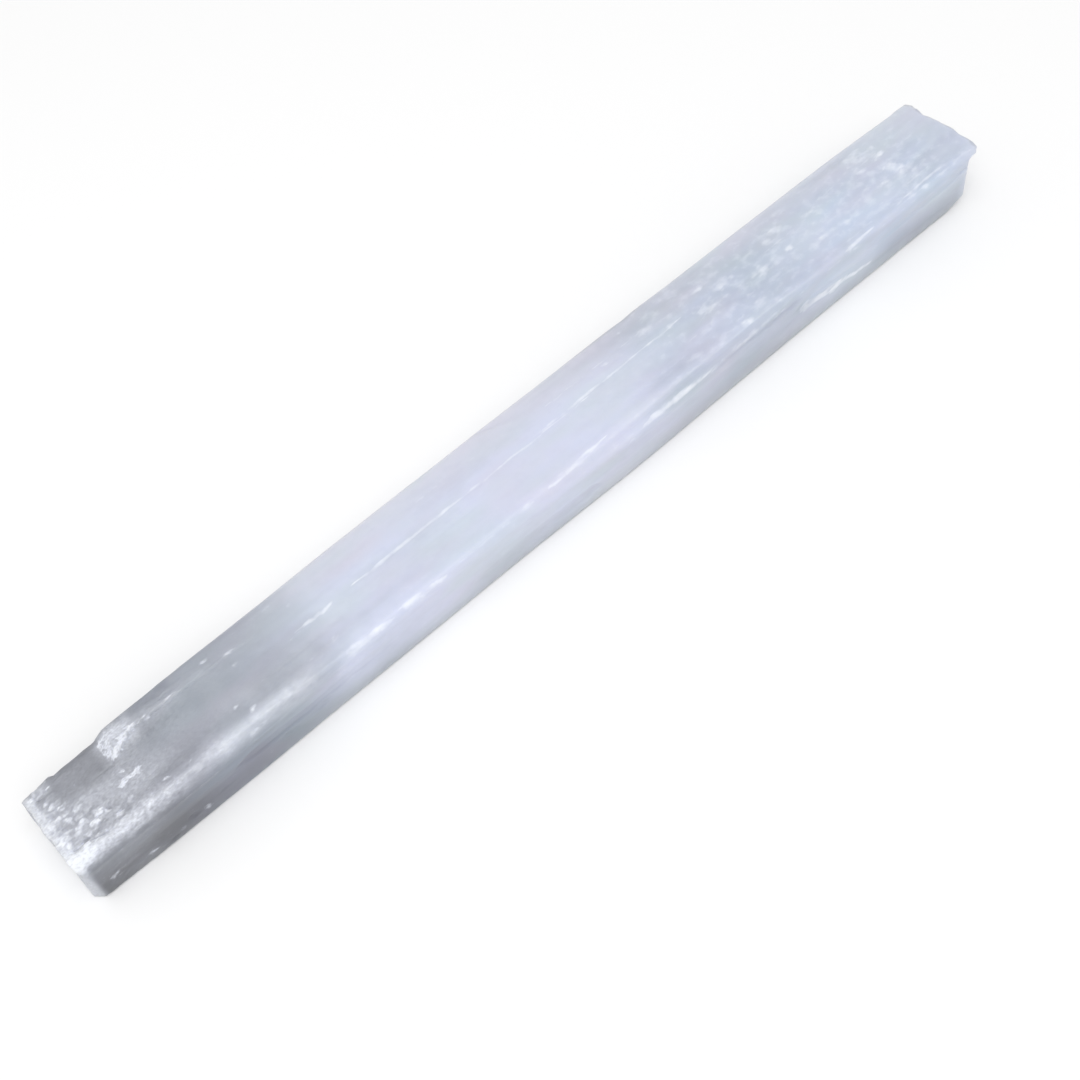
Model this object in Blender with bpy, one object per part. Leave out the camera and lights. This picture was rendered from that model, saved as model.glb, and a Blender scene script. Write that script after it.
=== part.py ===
"""A selenite crystal blade: one rough stick of fibrous gypsum, cleaved along its fibres.

Frame: +X runs along the fibres, from the frosted end to the end with the overhanging lamina.
+Y runs across the blade to its back face and +Z up. The origin is the bottom centre of the
blade's own box, so the blade lies on z = 0 with its widest cleavage face down.
"""
import math
import random
from collections import namedtuple

import bmesh
import bpy
import numpy as np
from mathutils import Vector

MM = 0.001
SEED = 11

# Driving dimensions of the slab, before any sliver has split off it. Keyed dimensions are
# (station, value) pairs in millimetres. Stations are measured along the blade from the frosted
# end, widths from the foot of the front face, and heights from the surface it lies on.
LENGTH = 190.9 * MM
STATIONS = 72
THICKNESS_KEYS = ((0, 11.8), (30, 11.9), (90, 12.1), (150, 12.4), (191, 12.5))
WIDTH_KEYS = ((0, 15.4), (10, 16.2), (25, 16.6), (42, 16.6), (58, 16.8), (90, 17.1), (165, 17.2), (191, 16.7))
FRONT_BULGE_KEYS = ((0, 0.0), (14, 0.15), (78, 0.10), (106, 0.60), (146, 0.15), (191, 0.20))
CREST_SHARE = 0.54
CREST_RISE = 0.15 * MM
FRONT_FALL = 0.10 * MM
BACK_FALL = 0.55 * MM

# Front arris: how far its bevel comes down the front face and goes in over the top.
ARRIS_DROP_KEYS = ((0, 2.4), (30, 2.0), (48, 1.1), (96, 1.1), (108, 1.8), (138, 2.0), (147, 0.7), (191, 0.4))
ARRIS_INSET_KEYS = ((0, 1.9), (30, 1.4), (48, 0.9), (96, 0.9), (108, 1.1), (138, 1.1), (147, 0.6), (191, 0.4))
BACK_ARRIS = 0.5 * MM
FOOT_BEVEL = 0.3 * MM

# Lattice lines over the top and up the sides, as shares of the width and of the height.
EDGE_SHARE = 0.08
ACROSS = (0.04, EDGE_SHARE, 0.15, 0.22, 0.30, 0.38, 0.46, CREST_SHARE, 0.62, 0.70, 0.78, 0.86, 1 - EDGE_SHARE)
UP = (0.05, 0.22, 0.40, 0.58, 0.76, 0.90)

# Growth relief: each lattice line wanders a little on its own as it follows the fibres.
RELIEF = 0.07 * MM
RELIEF_WAVES = ((150 * MM, 1.0), (62 * MM, 0.6), (27 * MM, 0.3))

# Ends. The far end is hollowed a little, and its back and front corners are worn round.
END_ROUGHNESS = 0.16 * MM
FAR_HOLLOW = 0.6 * MM
FAR_HOLLOW_SHARE = 0.66
FAR_HOLLOW_FROM = 0.9
FAR_CORNER = 2.3 * MM
FAR_CORNER_SHARE = 0.84
FAR_FRONT_WEAR = 0.9 * MM

CRYSTAL_COLOUR = (0.70, 0.71, 0.79, 1.0)
CRYSTAL_ROUGHNESS = 0.42
CRYSTAL_IOR = 1.52

# A scar is the bed of a sliver that split off one face, in millimetres: a long six-sided hollow
# with a point at each end. It starts, at its full depth, against a step and comes back out of
# the face at its end. "at" is where its start lies across the face, "drift" how far its end has
# moved over from there, and "heel" the share of its length at which it reaches its full width.
Scar = namedtuple("Scar", "face start end at drift width depth heel")
SCARS = (
    Scar("top", 64.0, 44.0, 9.1, -0.1, 1.2, 0.26, 0.08),
    Scar("top", 124.0, 84.0, 16.6, 1.0, 12.6, 0.32, 0.10),
    Scar("top", 97.0, 137.0, 5.6, 0.6, 2.0, 0.20, 0.12),
    Scar("top", 133.5, 156.0, 6.8, -0.8, 3.6, 0.30, 0.10),
    Scar("top", 178.0, 143.0, 3.6, -0.4, 3.0, 0.30, 0.08),
    Scar("top", 161.0, 184.0, 12.2, 0.4, 3.0, 0.28, 0.12),
    Scar("top", 172.0, 140.0, 15.4, 0.6, 1.8, 0.26, 0.10),
    Scar("front", 146.0, 98.0, 14.6, -0.4, 10.6, 0.46, 0.05),
    Scar("front", 144.5, 168.0, 7.6, -1.9, 2.6, 0.44, 0.05),
    Scar("front", 26.0, 66.0, 6.6, 0.4, 2.4, 0.36, 0.07),
    Scar("front", 98.0, 61.0, 4.2, 0.5, 2.6, 0.32, 0.08),
    Scar("front", 189.0, 156.0, 9.2, -0.6, 1.6, 0.28, 0.10),
    Scar("back", 3.0, 62.0, 13.4, 0.4, 9.6, 0.55, 0.06),
    Scar("back", 97.0, 34.0, 0.2, -0.4, 7.4, 0.45, 0.06),
    Scar("back", 104.0, 149.0, 7.2, 0.3, 3.8, 0.42, 0.08),
    Scar("back", 188.0, 127.0, 1.6, -0.8, 6.6, 0.55, 0.06),
    Scar("back", 187.0, 166.0, 11.6, 0.8, 5.0, 0.36, 0.10),
    Scar("under", 12.0, 58.0, 0.4, -0.6, 4.6, 0.40, 0.08),
    Scar("under", 150.0, 96.0, 16.8, 0.6, 5.6, 0.45, 0.06),
    Scar("under", 181.0, 141.0, 7.0, 0.8, 2.6, 0.30, 0.08),
)
SCAR_LONG_SHARE = 0.62
SCAR_LATE_WIDTH = 0.8
EMERGE = 0.08 * MM
CLEARANCE = 3 * MM

# The low bed at the frosted end: an outline on the top in millimetres, which leaves a raised
# strip along the back, and the station at which the bed has come back up to the top. Its step
# is a slope with this much run for its rise.
BED_OUTLINE = ((-3, 3.0), (-3, 9.9), (12.9, 10.3), (16.8, 12.9), (38, 12.5), (52, 10.8), (34, 5.0), (14, 3.6))
BED_DEPTH = 0.75 * MM
BED_END = 50 * MM
RECESS_OUTLINE = ((-3, 9.2), (-3, 21), (12.4, 21), (13.1, 9.6))
RECESS_DEPTH = 0.95 * MM
RECESS_END = 160 * MM
STEP_RUN = 1.6

# Small splinters gone from the faces, thickest at the frosted end: how many, the stations and
# the distances across that they start from, and how long, wide and deep they are.
Chips = namedtuple("Chips", "face count stations places lengths widths depths")
CHIPS = (
    Chips("top", 13, (1.0, 13.0), (2.6, 14.0), (2.5, 7.5), (0.7, 1.7), (0.18, 0.40)),
    Chips("top", 8, (14.0, 34.0), (2.2, 15.0), (3.0, 8.0), (0.6, 1.4), (0.15, 0.30)),
    Chips("top", 12, (118.0, 180.0), (1.8, 15.6), (4.0, 11.0), (0.6, 1.5), (0.15, 0.28)),
    Chips("front", 5, (8.0, 44.0), (1.5, 5.0), (2.0, 5.0), (0.8, 1.5), (0.20, 0.35)),
    Chips("back", 7, (12.0, 176.0), (3.0, 10.0), (5.0, 14.0), (0.6, 1.4), (0.18, 0.30)),
)

# The break under the overhanging lamina at the front of the far end.
LAMINA = 1.0 * MM
OVERHANG_TOP = 2.4 * MM
OVERHANG_FOOT = 0.9 * MM
OVERHANG_ACROSS = 4.6 * MM
OVERHANG_SKEW = 1.4 * MM

# Corners knocked off the foot of the far end and the upright edge of the near end.
FAR_FOOT_RISE = 2.3 * MM
FAR_FOOT_RUN = 5.5 * MM
FAR_FOOT_ACROSS = 2.6 * MM
NEAR_CORNER_TOP = 0.3 * MM
NEAR_CORNER_FOOT = 1.7 * MM


def keyed(keys, station):
    """A keyed dimension in metres at a station, eased from one key to the next."""
    stations = [key[0] * MM for key in keys]
    index = min(max(int(np.searchsorted(stations, station)) - 1, 0), len(keys) - 2)
    share = (station - stations[index]) / (stations[index + 1] - stations[index])
    share = min(max(share, 0.0), 1.0)
    eased = share * share * (3 - 2 * share)
    return (keys[index][1] + (keys[index + 1][1] - keys[index][1]) * eased) * MM


def top_height(station, across):
    """Height of the slab's top: two slopes from a low crest, and a bevel along each arris."""
    thickness = keyed(THICKNESS_KEYS, station)
    width = keyed(WIDTH_KEYS, station)
    crest = CREST_SHARE * width
    if across < crest:
        height = thickness + CREST_RISE - (CREST_RISE + FRONT_FALL) * (1 - across / crest)
    else:
        height = thickness + CREST_RISE - (CREST_RISE + BACK_FALL) * (across - crest) / (width - crest)
    front = min(max(1 - across / keyed(ARRIS_INSET_KEYS, station), 0.0), 1.0)
    back = min(max(1 - (width - across) / BACK_ARRIS, 0.0), 1.0)
    return height - keyed(ARRIS_DROP_KEYS, station) * front ** 1.4 - BACK_ARRIS * back ** 1.4


def across_at(station, share, underside):
    """Distance across the blade of a lattice line; on top its outermost lines bound the bevels."""
    width = keyed(WIDTH_KEYS, station)
    if underside:
        return FOOT_BEVEL + share * (width - 2 * FOOT_BEVEL)
    inset = keyed(ARRIS_INSET_KEYS, station)
    lines = (0, EDGE_SHARE, 1 - EDGE_SHARE, 1)
    return float(np.interp(share, lines, (0, inset, width - BACK_ARRIS, width)))


def end_hollow(share):
    """How far the far end falls short of the full length, across the blade."""
    hollow = FAR_HOLLOW * math.exp(-((share - FAR_HOLLOW_SHARE) / 0.2) ** 2)
    back = max(share - FAR_CORNER_SHARE, 0.0) / (1 - FAR_CORNER_SHARE)
    front = max(1 - share / (2 * EDGE_SHARE), 0.0)
    return hollow + FAR_CORNER * back ** 2 + FAR_FRONT_WEAR * front ** 2


class Relief:
    """Gentle waves along the fibres, with their own phases for each lattice line."""

    def __init__(self, rng):
        self.rng = rng
        self.lines = {}

    def at(self, line, station):
        if line not in self.lines:
            self.lines[line] = [self.rng.uniform(0, 2 * math.pi) for _ in RELIEF_WAVES]
        waves = zip(RELIEF_WAVES, self.lines[line])
        return RELIEF * sum(size * math.sin(2 * math.pi * station / length + phase)
                            for (length, size), phase in waves)


def new_object(name, collection, shape):
    """Store a bmesh as a mesh object, with its faces pointing out."""
    bmesh.ops.recalc_face_normals(shape, faces=shape.faces)
    mesh = bpy.data.meshes.new(name)
    shape.to_mesh(mesh)
    shape.free()
    item = bpy.data.objects.new(name, mesh)
    collection.objects.link(item)
    return item


def slice_cube(shape, axis, shares):
    """Cut a unit cube across one axis at the given shares of its side."""
    normal = Vector((axis == 0, axis == 1, axis == 2))
    for share in shares:
        everything = shape.verts[:] + shape.edges[:] + shape.faces[:]
        bmesh.ops.bisect_plane(shape, geom=everything, plane_co=normal * share, plane_no=normal)


def lattice_cube():
    """A unit cube with its corner at the origin, sliced into the lattice of the slab."""
    shape = bmesh.new()
    bmesh.ops.create_cube(shape, size=1.0)
    bmesh.ops.translate(shape, verts=shape.verts, vec=(0.5, 0.5, 0.5))
    slice_cube(shape, 0, [index / STATIONS for index in range(1, STATIONS)])
    slice_cube(shape, 1, ACROSS)
    slice_cube(shape, 2, UP)
    return shape


def on_slab(share, relief, rng):
    """Where a point of the unit lattice cube goes on the slab."""
    along, over, up = share
    station = along * LENGTH
    across = across_at(station, over, up == 0)
    height = up * top_height(station, across)
    if over == 0:
        across -= keyed(FRONT_BULGE_KEYS, station)
    if over in (0, 1):
        across += relief.at((over, up), station)
    elif up == 1:
        height += relief.at((over, up), station)
    station -= end_hollow(over) * max(along - FAR_HOLLOW_FROM, 0) / (1 - FAR_HOLLOW_FROM)
    if along in (0, 1) and up > 0:
        station += rng.uniform(-END_ROUGHNESS, END_ROUGHNESS)
    return Vector((station, across, height))


def make_slab(collection):
    """The whole blade before anything has broken off it."""
    rng = random.Random(SEED)
    relief = Relief(rng)
    shape = lattice_cube()
    shares = {vertex: tuple(round(value, 4) for value in vertex.co) for vertex in shape.verts}
    for vertex in sorted(shape.verts, key=shares.get):
        vertex.co = on_slab(shares[vertex], relief, rng)
    return new_object("selenite_blade", collection, shape)


def on_face(face, station, across, depth):
    """A point at a depth below one face of the slab."""
    if face == "top":
        return Vector((station, across, top_height(station, across) - depth))
    if face == "front":
        return Vector((station, depth - keyed(FRONT_BULGE_KEYS, station), across))
    if face == "back":
        return Vector((station, keyed(WIDTH_KEYS, station) - depth, across))
    return Vector((station, across, depth))


def make_cutter(name, collection, outline, point):
    """A prism on an outline of (along, across) pairs; point(along, across, deep) places it."""
    shape = bmesh.new()
    bmesh.ops.create_cone(shape, cap_ends=True, segments=len(outline), radius1=1, radius2=1, depth=2)
    for vertex in shape.verts:
        turn = math.atan2(vertex.co.x, vertex.co.y) / (2 * math.pi)
        along, across = outline[round(turn * len(outline)) % len(outline)]
        vertex.co = point(along, across, vertex.co.z < 0)
    bmesh.ops.triangulate(shape, faces=shape.faces)
    return new_object(name, collection, shape)


def make_scar(name, scar, collection):
    """The cutter of one splinter scar."""
    def point(along, across, deep):
        station = (scar.start + along * (scar.end - scar.start)) * MM
        place = (scar.at + along * scar.drift + across * scar.width / 2) * MM
        depth = scar.depth * MM * (1 - along) - EMERGE * along
        return on_face(scar.face, station, place, depth if deep else -CLEARANCE)

    late = SCAR_LATE_WIDTH
    long = SCAR_LONG_SHARE
    outline = ((0, 0), (scar.heel, 1), (long, late), (1, 0), (long, -late), (scar.heel, -1))
    make_cutter(name, collection, outline, point)


def make_bed(name, outline, depth, end, collection):
    """The cutter of a wide low bed that rises towards a station along the top."""
    def point(along, across, deep):
        station = along * MM
        fall = depth - (depth + EMERGE) * station / end
        if deep:
            return on_face("top", station, across * MM, fall)
        run = STEP_RUN * (CLEARANCE + fall) if along > 0 else 0
        return on_face("top", station + run, across * MM, -CLEARANCE)

    make_cutter(name, collection, outline, point)


def make_chips(chips, rng, collection):
    """Small scars in random places, one to each equal stretch so that few run together."""
    low, high = chips.stations
    stretch = (high - low) / chips.count
    for number in range(chips.count):
        start = low + (number + rng.random()) * stretch
        length = rng.uniform(*chips.lengths) * rng.choice((-1, 1))
        at = rng.uniform(*chips.places)
        drift = rng.uniform(-0.3, 0.3)
        depth = rng.uniform(*chips.depths)
        heel = rng.uniform(0.12, 0.35)
        if chips.face == "top" and max(start, start + length) < RECESS_OUTLINE[2][0]:
            depth += (RECESS_DEPTH if at > BED_OUTLINE[1][1] else BED_DEPTH) / MM
        scar = Scar(chips.face, start, start + length, at, drift, rng.uniform(*chips.widths), depth, heel)
        make_scar(f"chip_{chips.face}_{chips.stations[0]:.0f}_{number:02d}", scar, collection)


def make_breaks(collection):
    """The notch under the lamina and the corners knocked off the two ends."""
    square = ((0, 0), (1, 0), (1, 1), (0, 1))
    notch_top = top_height(LENGTH, OVERHANG_ACROSS) - LAMINA
    foot_from = LENGTH - OVERHANG_FOOT - FAR_FOOT_RUN
    beyond = 4 * MM

    def under_lamina(along, across, deep):
        station = LENGTH + beyond if along else LENGTH - (OVERHANG_FOOT if deep else OVERHANG_TOP)
        back = OVERHANG_ACROSS - (0 if along else OVERHANG_SKEW)
        return Vector((station, back if across else -beyond, -beyond if deep else notch_top))

    def far_foot(along, across, deep):
        station = LENGTH + beyond if along else foot_from
        top = FAR_FOOT_RISE / FAR_FOOT_RUN * (station - foot_from)
        return Vector((station, FAR_FOOT_ACROSS if across else -beyond, top - 2 * beyond if deep else top))

    def near_corner(along, across, deep):
        size = NEAR_CORNER_FOOT if deep else NEAR_CORNER_TOP
        height = -beyond if deep else keyed(THICKNESS_KEYS, 0) + beyond
        middle = Vector((size / 2, size / 2, height))
        slant = Vector((1, -1, 0)) * (2 * beyond if along else -2 * beyond)
        return middle + slant + Vector((-1, -1, 0)) * (0 if across else beyond)

    make_cutter("break_under_lamina", collection, square, under_lamina)
    make_cutter("break_far_foot", collection, square, far_foot)
    make_cutter("break_near_corner", collection, square, near_corner)


def make_cutters(collection):
    """Everything that has split, chipped or broken off the slab."""
    rng = random.Random(SEED + 1)
    make_bed("bed_frosted_end", BED_OUTLINE, BED_DEPTH, BED_END, collection)
    make_bed("bed_back_recess", RECESS_OUTLINE, RECESS_DEPTH, RECESS_END, collection)
    for number, scar in enumerate(SCARS):
        make_scar(f"scar_{scar.face}_{number:02d}", scar, collection)
    for chips in CHIPS:
        make_chips(chips, rng, collection)
    make_breaks(collection)
    for cutter in collection.objects:
        cutter.hide_render = True
        cutter.display_type = "WIRE"


def crystal_material():
    material = bpy.data.materials.new("selenite")
    material.use_nodes = True
    shader = material.node_tree.nodes["Principled BSDF"]
    shader.inputs["Base Color"].default_value = CRYSTAL_COLOUR
    shader.inputs["Roughness"].default_value = CRYSTAL_ROUGHNESS
    shader.inputs["Metallic"].default_value = 0.0
    shader.inputs["IOR"].default_value = CRYSTAL_IOR
    material.diffuse_color = CRYSTAL_COLOUR
    return material


def centre_on_box(blade, frame):
    """Shift the blade and its cutters until the origin is the bottom centre of its box."""
    bpy.context.view_layer.update()
    shape = blade.evaluated_get(bpy.context.evaluated_depsgraph_get())
    corners = [Vector(corner) for corner in shape.bound_box]
    low = [min(corner[axis] for corner in corners) for axis in range(3)]
    high = [max(corner[axis] for corner in corners) for axis in range(3)]
    frame.location = (-(low[0] + high[0]) / 2, -(low[1] + high[1]) / 2, -low[2])
    bpy.context.view_layer.update()


def main():
    for item in list(bpy.data.objects):
        bpy.data.objects.remove(item, do_unlink=True)
    parts = bpy.data.collections.new("selenite_blade_parts")
    cutters = bpy.data.collections.new("cutters")
    for collection in (parts, cutters):
        bpy.context.scene.collection.children.link(collection)
    frame = bpy.data.objects.new("blade_frame", None)
    parts.objects.link(frame)

    blade = make_slab(parts)
    blade.data.materials.append(crystal_material())
    make_cutters(cutters)
    broken = blade.modifiers.new("broken_away", "BOOLEAN")
    broken.operation = "DIFFERENCE"
    broken.operand_type = "COLLECTION"
    broken.collection = cutters
    for item in [blade, *cutters.objects]:
        item.parent = frame
    centre_on_box(blade, frame)


main()
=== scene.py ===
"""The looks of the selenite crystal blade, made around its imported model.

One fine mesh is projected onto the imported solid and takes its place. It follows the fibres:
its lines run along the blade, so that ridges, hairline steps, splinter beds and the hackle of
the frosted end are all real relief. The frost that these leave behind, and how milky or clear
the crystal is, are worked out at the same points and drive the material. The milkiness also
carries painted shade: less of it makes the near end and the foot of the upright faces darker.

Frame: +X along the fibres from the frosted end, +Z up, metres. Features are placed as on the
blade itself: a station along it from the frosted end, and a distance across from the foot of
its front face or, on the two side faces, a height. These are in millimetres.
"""
from collections import namedtuple
from itertools import product
from math import radians

import bpy
import numpy as np
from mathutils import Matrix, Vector
from mathutils.bvhtree import BVHTree

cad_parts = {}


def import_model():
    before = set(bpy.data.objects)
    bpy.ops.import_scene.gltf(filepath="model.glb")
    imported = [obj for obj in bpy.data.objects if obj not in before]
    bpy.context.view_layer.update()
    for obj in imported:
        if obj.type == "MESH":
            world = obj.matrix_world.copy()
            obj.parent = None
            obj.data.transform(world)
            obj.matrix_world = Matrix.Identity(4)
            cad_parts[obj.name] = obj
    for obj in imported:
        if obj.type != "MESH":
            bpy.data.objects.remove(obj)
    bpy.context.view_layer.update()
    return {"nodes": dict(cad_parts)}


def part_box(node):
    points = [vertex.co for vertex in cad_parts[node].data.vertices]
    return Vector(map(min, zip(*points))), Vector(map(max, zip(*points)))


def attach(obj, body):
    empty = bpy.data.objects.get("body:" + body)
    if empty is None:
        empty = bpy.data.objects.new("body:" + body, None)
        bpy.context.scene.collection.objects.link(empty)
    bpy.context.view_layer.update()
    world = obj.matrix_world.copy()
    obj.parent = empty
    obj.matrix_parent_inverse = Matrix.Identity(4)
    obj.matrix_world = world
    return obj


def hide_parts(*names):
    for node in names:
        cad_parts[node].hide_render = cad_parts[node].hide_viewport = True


MM = 0.001
SEED = 29
NODE = "selenite_blade"

# Where station 0 and the foot of the front face lie in the part's frame.
STATION_ZERO = -95.43
ACROSS_ZERO = -8.30

# Past the edges: before the blade's start or below a face, beyond its end, and above a face.
BEFORE = -9
BEYOND = 195
ABOVE = 30


# --------------------------------------------------------------------------- numbers

def smooth_step(low, high, value):
    """0 below low, 1 above high, eased between; low may be above high."""
    share = np.clip((value - low) / (high - low), 0.0, 1.0)
    return share * share * (3 - 2 * share)


def window(low, high, fade, value):
    """1 between low and high, fading to 0 on both sides."""
    return smooth_step(low - fade, low + fade, value) * smooth_step(high + fade, high - fade, value)


def between(low, high, share):
    return low + (high - low) * share


def keyed(keys, value):
    """Read a table of (place, amount) pairs, with straight lines between them."""
    places, amounts = zip(*keys)
    return np.interp(value, places, amounts)


def columns(*values):
    """Stack numbers and arrays as the columns of one array."""
    return np.stack(np.broadcast_arrays(*values), axis=1)


# --------------------------------------------------------------------------- noise

HASH_FACTORS = (73856093, 19349663, 83492791)
HASH_SEED_FACTOR = 2654435761
HASH_ROUNDS = ((13, 1274126177), (16, 668265263))
HASH_MASK = 0x7FFFFFFF
HASH_DROP = 8
HASH_TOP = 0xFFFF


def hashed(cells, seed):
    """A steady random number from -1 to 1 for each whole-numbered cell."""
    mixed = np.bitwise_xor.reduce(cells * np.array(HASH_FACTORS), axis=1) ^ seed * HASH_SEED_FACTOR
    for shift, factor in HASH_ROUNDS:
        mixed = (mixed ^ (mixed >> shift)) * factor & HASH_MASK
    return (mixed >> HASH_DROP & HASH_TOP) / (HASH_TOP / 2) - 1


def noise(points, size, seed):
    """Smooth noise from -1 to 1 with cells of the given size, at (n, 3) points."""
    scaled = points / np.array(size)
    cells = np.floor(scaled).astype(np.int64)
    part = smooth_step(0, 1, scaled - cells)
    total = np.zeros(len(points))
    for corner in product((0, 1), repeat=3):
        weight = np.prod(np.where(corner, part, 1 - part), axis=1)
        total += weight * hashed(cells + np.array(corner), seed)
    return total


def crumbled(points, size, seed):
    """Crumbs: 1 in the gaps between them and 0 on them, and a tone from -1 to 1 for each."""
    scaled = points / np.array(size)
    cells = np.floor(scaled).astype(np.int64)
    nearest = np.full(len(points), np.inf)
    second = nearest.copy()
    tone = np.zeros(len(points))
    for step in product((-1, 0, 1), repeat=3):
        cell = cells + np.array(step)
        shift = columns(*(hashed(cell, seed + axis) for axis in range(3)))
        apart = np.linalg.norm(scaled - cell - 0.5 - CRUMB_SHIFT * shift, axis=1)
        closer = apart < nearest
        second = np.where(closer, nearest, np.minimum(second, apart))
        tone = np.where(closer, hashed(cell, seed + 3), tone)
        nearest = np.where(closer, apart, nearest)
    return smooth_step(CRUMB_BORDER, 0, second - nearest), tone


# --------------------------------------------------------------------------- lattice

# Lines of the lattice: (from, to, how many) stretches along the blade, closer at the ends, and
# counts across and up.
LINES_ALONG = ((0.0, 0.10, 76), (0.10, 0.90, 196), (0.90, 1.0, 46))
LINES_ACROSS = 92
LINES_UP = 48

# How far in from the box the rays at its edges aim: at the two ends, at the sides, at the foot,
# and at the top where it is deeply bevelled (frosted end) and where the lamina is thin (far end).
# Then where along the blade, as shares of it, the first of these two gives way to the second.
END_REACH = (2.5 * MM, 5.0 * MM)
SIDE_REACH = 2.2 * MM
FOOT_REACH = 0.5 * MM
TOP_REACH = (2.6 * MM, 1.2 * MM)
TOP_REACH_TURN = (0.25, 0.85)
# How far outside the solid a ray starts, and over how many stations its outline is eased.
RAY_START = 4 * MM
EXTENT_EASE = 9


class Lattice:
    """The surface of a sliced box: its points' line numbers, its quads, and its rows along."""

    def __init__(self):
        stretches = [np.linspace(*stretch, endpoint=False) for stretch in LINES_ALONG]
        self.along = np.append(np.concatenate(stretches), 1.0)
        self.across = np.linspace(0, 1, LINES_ACROSS + 1)
        self.up = np.linspace(0, 1, LINES_UP + 1)
        shape = (len(self.along), len(self.across), len(self.up))
        outside = np.zeros(shape, bool)
        outside[[0, -1]] = outside[:, [0, -1]] = outside[:, :, [0, -1]] = True
        self.number = np.full(shape, -1)
        self.number[outside] = np.arange(outside.sum())
        self.lines = np.argwhere(outside)

    def quads(self):
        """Corner numbers of every quad, wound so that faces point out."""
        found = []
        for axis in range(3):
            for side, outward in ((0, False), (-1, True)):
                sheet = np.take(self.number, side, axis)
                corners = (sheet[:-1, :-1], sheet[1:, :-1], sheet[1:, 1:], sheet[:-1, 1:])
                quad = np.stack([corner.ravel() for corner in corners], axis=1)
                flip = outward == (axis == 1)
                found.append(quad[:, ::-1] if flip else quad)
        return np.concatenate(found)

    def rings(self):
        """Point numbers of the closed ring at each station, in order around the blade."""
        across, up = LINES_ACROSS, LINES_UP
        front = [(0, level) for level in range(up)]
        top = [(line, up) for line in range(across)]
        back = [(across, up - level) for level in range(up)]
        under = [(across - line, 0) for line in range(across)]
        lines, levels = np.array(front + top + back + under).T
        return self.number[:, lines, levels]

    def ease_along(self, places):
        """Smooth the points once along the blade, leaving the two ends alone."""
        rows = self.rings()
        kept = places[rows]
        kept[1:-1] = (kept[:-2] + 2 * kept[1:-1] + kept[2:]) / 4
        places[rows] = kept

    def ease_around(self, places, share, passes):
        """Smooth the points around the blade, each by its own share."""
        rows = self.rings()
        for _ in range(passes):
            kept = places[rows]
            eased = (np.roll(kept, 1, 1) + 2 * kept + np.roll(kept, -1, 1)) / 4
            places[rows] = between(kept, eased, share[rows][..., None])


class Surface:
    """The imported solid, as something to cast rays at."""

    def __init__(self, node):
        mesh = node.data
        corners = [vertex.co for vertex in mesh.vertices]
        self.tree = BVHTree.FromPolygons(corners, [list(face.vertices) for face in mesh.polygons])
        self.low, self.high = (np.array(corner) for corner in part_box(NODE))

    def hit(self, start, towards):
        """Where a ray lands, and the way that the face there looks."""
        place, normal = self.tree.ray_cast(Vector(start), Vector(towards))[:2]
        if place is None:
            place, normal = self.tree.find_nearest(Vector(start))[:2]
        return np.array(place), np.array(normal)

    def extents(self, along):
        """The solid's front, back and top at each station, eased along the blade."""
        middle = (self.low + self.high) / 2
        inner = np.clip(along, self.low[0] + END_REACH[0], self.high[0] - END_REACH[1])
        weights = np.hanning(2 * EXTENT_EASE + 3)[1:-1]
        weights = weights / weights.sum()
        edges = []
        for axis, side, sign in ((1, self.low, 1), (1, self.high, -1), (2, self.high, -1)):
            start = np.tile(middle, (len(along), 1))
            start[:, 0] = inner
            start[:, axis] = side[axis] - sign * RAY_START
            towards = np.zeros(3)
            towards[axis] = sign
            places = np.array([self.hit(point, towards)[0][axis] for point in start])
            padded = np.pad(places, EXTENT_EASE, mode="edge")
            edges.append(np.convolve(padded, weights, mode="valid"))
        return edges


def project(lattice, surface):
    """Where each lattice point lands on the solid, its outward ray, and how far the face leans."""
    numbers = lattice.lines.T
    shares = columns(lattice.along[numbers[0]], lattice.across[numbers[1]], lattice.up[numbers[2]])
    stations = between(surface.low[0], surface.high[0], lattice.along)
    front, back, top = (edge[numbers[0]] for edge in surface.extents(stations))
    low = columns(surface.low[0], front, surface.low[2])
    high = columns(surface.high[0], back, top)
    target = between(low, high, shares)
    top_reach = between(*TOP_REACH, smooth_step(*TOP_REACH_TURN, shares[:, 0]))
    low_reach = np.array((END_REACH[0], SIDE_REACH, FOOT_REACH))
    high_reach = columns(END_REACH[1], SIDE_REACH, top_reach)
    outward = target - np.clip(target, low + low_reach, high - high_reach)
    outward /= np.linalg.norm(outward, axis=1)[:, None]
    hits = [surface.hit(point + ray * RAY_START, -ray) for point, ray in zip(target, outward)]
    landed, normals = (np.array(column) for column in zip(*hits))
    return landed, outward, 1 - np.sum(normals * outward, axis=1)


# --------------------------------------------------------------------------- relief and frost

# Keyed values along the blade are (station, value) pairs: how milky it is, and the veil of fine
# frost on its top. At the near end the low milkiness is partly clearer crystal and partly painted
# shade, which makes that end greyer and darker.
MILK_AND_SHADE_KEYS = (
    (0, 0.26), (8, 0.16), (20, 0.16), (30, 0.28), (40, 0.55), (50, 0.87), (62, 0.96),
    (85, 1.0), (104, 0.97), (118, 0.86), (140, 0.86), (160, 0.93), (191, 0.92),
)
VEIL_KEYS = ((0, 0.62), (6, 0.54), (14, 0.46), (20, 0.39), (30, 0.37), (45, 0.12), (60, 0.0))
# Painted shade at the foot: how much clearer and darker the side faces get towards their foot,
# keyed by height.
FOOT_SHADE_KEYS = ((0, 0.24), (2, 0.17), (5, 0.11), (8, 0.01), (10, 0.0))
# How frosted each face is to begin with, and soft clouds in the frost, the veil and the milk:
# the size of their cells, and how strong they are. Then the most frost that a point can have.
BASE_FROST = {"top": 0.20, "front": 0.16, "back": 0.28, "under": 0.24, "near": 0.60, "far": 0.30}
FROST_CLOUDS = ((14, 5, 5), 0.09)
VEIL_CLOUDS = ((8, 3, 3), 0.22)
MILK_CLOUDS = ((13, 4, 4), 0.08)
FROST_LIMIT = 1.2

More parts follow.
